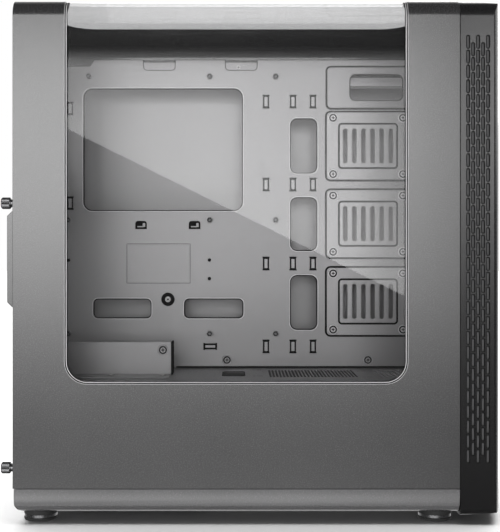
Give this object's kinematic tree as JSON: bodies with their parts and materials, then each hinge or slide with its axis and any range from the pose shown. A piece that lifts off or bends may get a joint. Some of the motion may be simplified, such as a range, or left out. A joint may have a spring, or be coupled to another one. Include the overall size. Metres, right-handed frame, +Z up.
{
  "type": "desktop computer tower",
  "caption": "Empty mid-tower computer case with a curved window over its side and roof, slotted front bezel, motherboard tray, drive brackets and a power supply shroud.",
  "frame": {"origin": "on the surface it stands on, under the middle of its bounding box", "axes": "+X towards the front bezel, -Y towards the window side, +Z up"},
  "size_m": [0.484, 0.22, 0.494],
  "materials": {
    "coated_steel": "fine-textured black powder coat",
    "inner_steel": "satin black coat",
    "black_plastic": "fine-textured matte",
    "dark_plastic": "matte",
    "acrylic": "clear, polished",
    "nickel": "nickel-plated",
    "rubber": "matte",
    "circuit_board": "solder mask"
  },
  "bodies": {
    "chassis": {"base_front": "black_plastic", "base_left": "black_plastic", "base_rear": "black_plastic", "base_right": "black_plastic", "chassis_floor": "inner_steel", "drive_bracket_1": "inner_steel", "drive_bracket_2": "inner_steel", "drive_bracket_3": "inner_steel", "drive_cage": "inner_steel", "drive_tray_1": "dark_plastic", "drive_tray_2": "dark_plastic", "fan_frame_1": "dark_plastic", "fan_frame_2": "dark_plastic", "filter_rail_left": "black_plastic", "filter_rail_right": "black_plastic", "foot_front_left": "rubber", "foot_front_right": "rubber", "foot_rear_left": "rubber", "foot_rear_right": "rubber", "front_wall": "inner_steel", "motherboard_tray": "inner_steel", "psu_shroud": "inner_steel", "rear_rim": "coated_steel", "rear_top_trim": "black_plastic", "rear_wall": "inner_steel", "roof_bar_front": "coated_steel", "roof_bar_rear": "coated_steel", "shroud_cover_plate": "inner_steel", "slot_cover_1": "inner_steel", "slot_cover_2": "inner_steel", "slot_cover_3": "inner_steel", "slot_cover_4": "inner_steel", "slot_cover_5": "inner_steel", "slot_cover_6": "inner_steel", "slot_cover_7": "inner_steel"},
    "left_panel": {"left_side_panel": "coated_steel", "side_window": "acrylic"},
    "right_panel": {"right_side_panel": "coated_steel"},
    "bezel": {"front_bezel": "black_plastic", "vent_strip_left": "black_plastic", "vent_strip_right": "black_plastic", "front_filter": "dark_plastic", "port_panel": "dark_plastic", "port_board": "circuit_board", "usb_socket_1": "nickel", "usb_socket_2": "nickel", "audio_sockets": "dark_plastic"},
    "power_button": {"power_button": "black_plastic"},
    "reset_button": {"reset_button": "black_plastic"},
    "fan_rotor_1": {"fan_rotor_1": "dark_plastic"},
    "fan_rotor_2": {"fan_rotor_2": "dark_plastic"},
    "psu_filter": {"psu_filter": "dark_plastic"},
    "slot_screw_cover": {"slot_screw_cover": "coated_steel"},
    "thumbscrew_left_upper": {"thumbscrew_left_upper": "nickel"},
    "thumbscrew_left_lower": {"thumbscrew_left_lower": "nickel"},
    "thumbscrew_right_upper": {"thumbscrew_right_upper": "nickel"},
    "thumbscrew_right_lower": {"thumbscrew_right_lower": "nickel"}
  },
  "joints": [
    {"name": "left_panel_slide", "type": "slide", "parent": "chassis", "child": "left_panel", "axis": [-1, 0, 0], "range_m": [0, 0.44]},
    {"name": "right_panel_slide", "type": "slide", "parent": "chassis", "child": "right_panel", "axis": [-1, 0, 0], "range_m": [0, 0.44]},
    {"name": "bezel_pull", "type": "slide", "parent": "chassis", "child": "bezel", "axis": [1, 0, 0], "range_m": [0, 0.06]},
    {"name": "power_press", "type": "slide", "parent": "bezel", "child": "power_button", "axis": [0, 0, -1], "range_m": [0, 0.0015], "stiffness_N_per_m": 400},
    {"name": "reset_press", "type": "slide", "parent": "bezel", "child": "reset_button", "axis": [0, 0, -1], "range_m": [0, 0.0012], "stiffness_N_per_m": 300},
    {"name": "fan_1_spin", "type": "hinge", "parent": "chassis", "child": "fan_rotor_1", "pos_m": [0.2021, 0, 0.3], "axis": [1, 0, 0], "continuous": true},
    {"name": "fan_2_spin", "type": "hinge", "parent": "chassis", "child": "fan_rotor_2", "pos_m": [0.2021, 0, 0.165], "axis": [1, 0, 0], "continuous": true},
    {"name": "filter_draw", "type": "slide", "parent": "chassis", "child": "psu_filter", "axis": [-1, 0, 0], "range_m": [0, 0.18]},
    {"name": "slot_cover_pull", "type": "slide", "parent": "chassis", "child": "slot_screw_cover", "axis": [-1, 0, 0], "range_m": [0, 0.03]},
    {"name": "thumbscrew_left_upper_turn", "type": "hinge", "parent": "left_panel", "child": "thumbscrew_left_upper", "pos_m": [-0.242, -0.101, 0.3023], "axis": [-1, 0, 0], "continuous": true},
    {"name": "thumbscrew_left_lower_turn", "type": "hinge", "parent": "left_panel", "child": "thumbscrew_left_lower", "pos_m": [-0.242, -0.101, 0.0526], "axis": [-1, 0, 0], "continuous": true},
    {"name": "thumbscrew_right_upper_turn", "type": "hinge", "parent": "right_panel", "child": "thumbscrew_right_upper", "pos_m": [-0.242, 0.101, 0.3023], "axis": [-1, 0, 0], "continuous": true},
    {"name": "thumbscrew_right_lower_turn", "type": "hinge", "parent": "right_panel", "child": "thumbscrew_right_lower", "pos_m": [-0.242, 0.101, 0.0526], "axis": [-1, 0, 0], "continuous": true}
  ]
}
